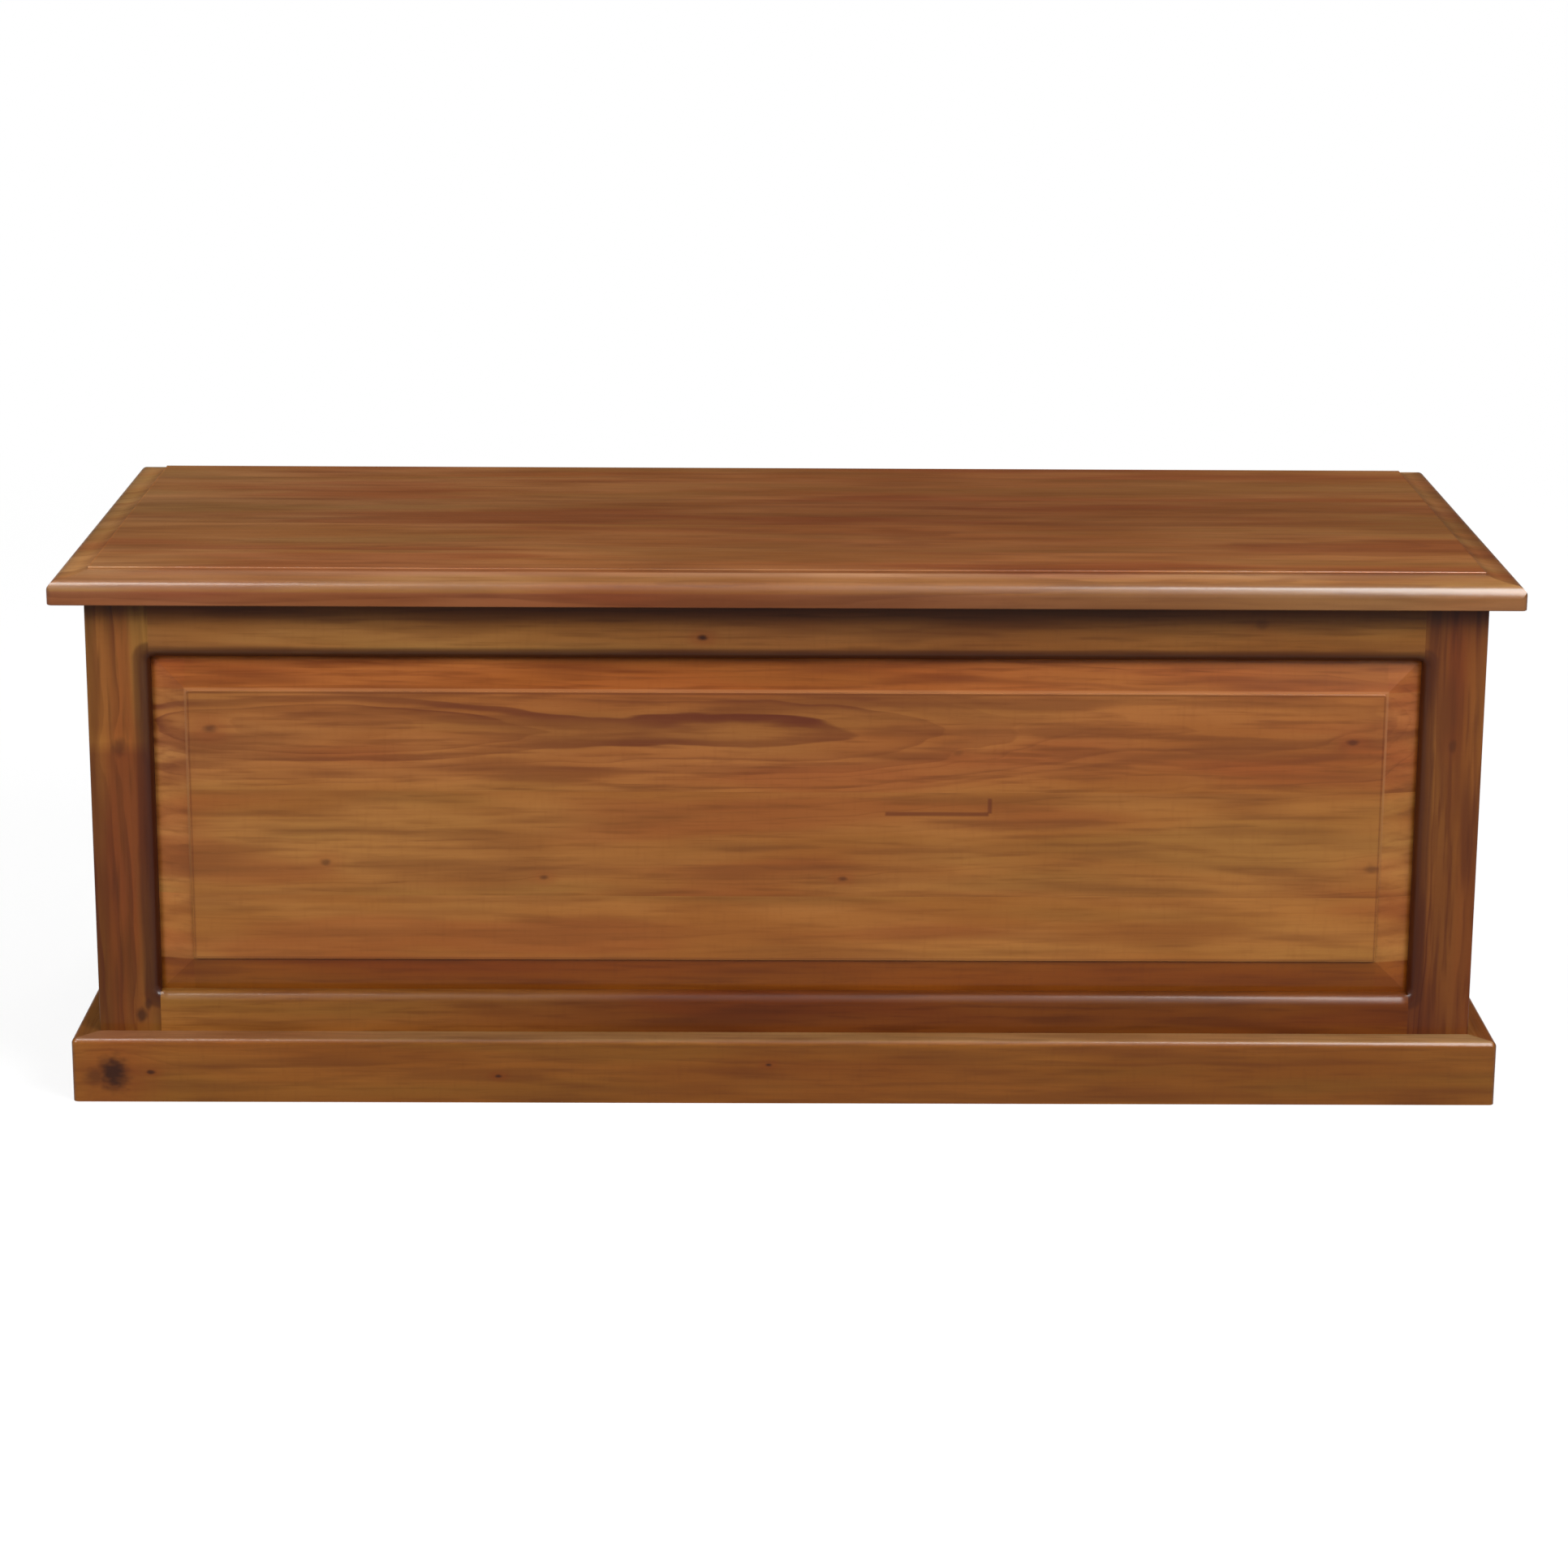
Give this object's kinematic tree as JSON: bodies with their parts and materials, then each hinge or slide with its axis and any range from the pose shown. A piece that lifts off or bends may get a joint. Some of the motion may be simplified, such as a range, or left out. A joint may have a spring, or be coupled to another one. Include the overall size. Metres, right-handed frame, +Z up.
{
  "type": "blanket chest",
  "caption": "Long low framed-and-panelled wooden blanket chest on a plinth, with a moulded overhanging lid that opens on butt hinges and folding stays.",
  "frame": {"origin": "on the floor under the middle of the chest", "axes": "+X along the length to the right as seen from the front, +Y towards the back where the hinges are, +Z up"},
  "size_m": [1.26, 0.5, 0.476],
  "materials": {
    "lid_wood": "satin lacquer",
    "panel_wood": "satin lacquer",
    "frame_wood": "satin lacquer",
    "plinth_wood": "satin lacquer",
    "floor_wood": "bare, lightly sealed",
    "hinges": "satin",
    "stays": "satin",
    "screws": "satin",
    "bumper_felt": "felt"
  },
  "bodies": {
    "carcass": {"floor_bearer": "floor_wood", "floor_board": "floor_wood", "floor_cleat_front": "floor_wood", "floor_cleat_left": "floor_wood", "floor_cleat_rear": "floor_wood", "floor_cleat_right": "floor_wood", "floor_cleat_screws": "screws", "hinge_leaf_carcass_left": "hinges", "hinge_leaf_carcass_middle": "hinges", "hinge_leaf_carcass_right": "hinges", "hinge_pin_left": "hinges", "hinge_pin_middle": "hinges", "hinge_pin_right": "hinges", "hinge_screws_carcass": "screws", "lid_bumpers": "bumper_felt", "panel_front": "panel_wood", "panel_left": "panel_wood", "panel_rear": "panel_wood", "panel_right": "panel_wood", "plinth_front": "plinth_wood", "plinth_left": "plinth_wood", "plinth_rear": "plinth_wood", "plinth_right": "plinth_wood", "post_front_left": "frame_wood", "post_front_right": "frame_wood", "post_rear_left": "frame_wood", "post_rear_right": "frame_wood", "rail_front_bottom": "frame_wood", "rail_front_top": "frame_wood", "rail_left_bottom": "frame_wood", "rail_left_top": "frame_wood", "rail_rear_bottom": "frame_wood", "rail_rear_top": "frame_wood", "rail_right_bottom": "frame_wood", "rail_right_top": "frame_wood", "stay_post_bracket_left": "stays", "stay_post_bracket_right": "stays", "stay_screws_post": "screws"},
    "lid": {"hinge_leaf_lid_left": "hinges", "hinge_leaf_lid_middle": "hinges", "hinge_leaf_lid_right": "hinges", "hinge_screws_lid": "screws", "lid_batten_left": "lid_wood", "lid_batten_right": "lid_wood", "lid_batten_screws": "screws", "lid_board": "lid_wood", "stay_lid_bracket_left": "stays", "stay_lid_bracket_right": "stays", "stay_screws_lid": "screws"},
    "stay_lower_left": {"stay_elbow_rivet_left": "stays", "stay_lower_arm_left": "stays"},
    "stay_lower_right": {"stay_elbow_rivet_right": "stays", "stay_lower_arm_right": "stays"},
    "stay_upper_left": {"stay_upper_arm_left": "stays"},
    "stay_upper_right": {"stay_upper_arm_right": "stays"}
  },
  "joints": [
    {"name": "lid_hinge", "type": "hinge", "parent": "carcass", "child": "lid", "pos_m": [0, 0.228, 0.44825], "axis": [-1, 0, 0], "range_deg": [0, 95]},
    {"name": "stay_post_pivot_left", "type": "hinge", "parent": "carcass", "child": "stay_lower_left", "pos_m": [-0.5457, 0.186, 0.33825], "axis": [-1, 0, 0], "range_deg": [0, 95]},
    {"name": "stay_lid_pivot_left", "type": "hinge", "parent": "lid", "child": "stay_upper_left", "pos_m": [-0.5434, 0.038, 0.43625], "axis": [-1, 0, 0], "range_deg": [-95, 0]},
    {"name": "stay_post_pivot_right", "type": "hinge", "parent": "carcass", "child": "stay_lower_right", "pos_m": [0.5457, 0.186, 0.33825], "axis": [-1, 0, 0], "range_deg": [0, 95]},
    {"name": "stay_lid_pivot_right", "type": "hinge", "parent": "lid", "child": "stay_upper_right", "pos_m": [0.5434, 0.038, 0.43625], "axis": [-1, 0, 0], "range_deg": [-95, 0]}
  ],
  "couplings": [
    {"joint": "stay_post_pivot_left", "follows": "lid_hinge", "ratio": 1},
    {"joint": "stay_lid_pivot_left", "follows": "lid_hinge", "ratio": -1},
    {"joint": "stay_post_pivot_right", "follows": "lid_hinge", "ratio": 1},
    {"joint": "stay_lid_pivot_right", "follows": "lid_hinge", "ratio": -1}
  ]
}
